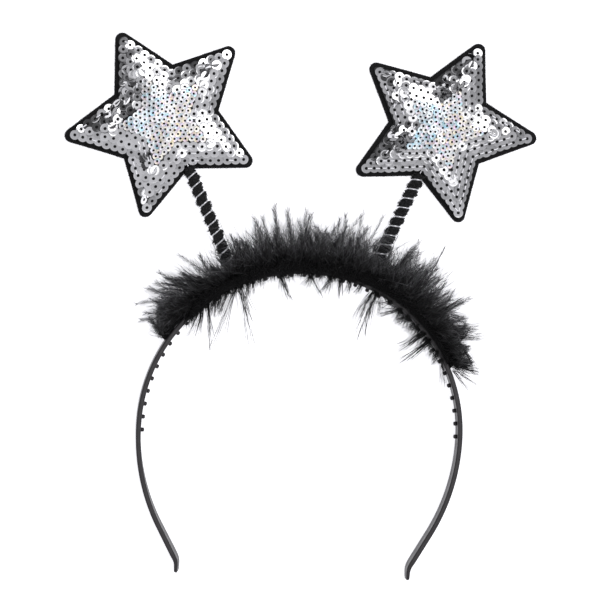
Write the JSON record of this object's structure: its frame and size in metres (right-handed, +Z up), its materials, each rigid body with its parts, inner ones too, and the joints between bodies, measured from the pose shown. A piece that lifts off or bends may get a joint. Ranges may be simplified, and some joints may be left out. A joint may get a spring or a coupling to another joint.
{
  "type": "star headband",
  "caption": "Costume headband: plastic comb band with a feather trim on its crown, and padded sequin stars standing on coil springs.",
  "frame": {"origin": "on the table, below the middle of the headband's box as it lies on its back", "axes": "+X to the right seen from the front, +Y from the feet of the band towards the stars, +Z up from the table, which is the front of the headband"},
  "size_m": [0.188, 0.216, 0.0197],
  "materials": {
    "band_plastic": "black moulded plastic, satin to glossy",
    "feather": "black dyed marabou down",
    "spring_wire": "bright silver wire",
    "chenille": "black chenille pile with a little shine",
    "felt": "matt black felt",
    "sequin_front": "silver sequins on padded cloth, with a rainbow-tinted star in the middle"
  },
  "bodies": {
    "root": {"headband": "band_plastic", "feather_trim": "feather", "left_spring_wire": "spring_wire", "right_spring_wire": "spring_wire", "left_spring_pile": "chenille", "right_spring_pile": "chenille", "left_star_backing": "felt", "right_star_backing": "felt", "left_star_pad": "sequin_front", "right_star_pad": "sequin_front"}
  },
  "joints": []
}
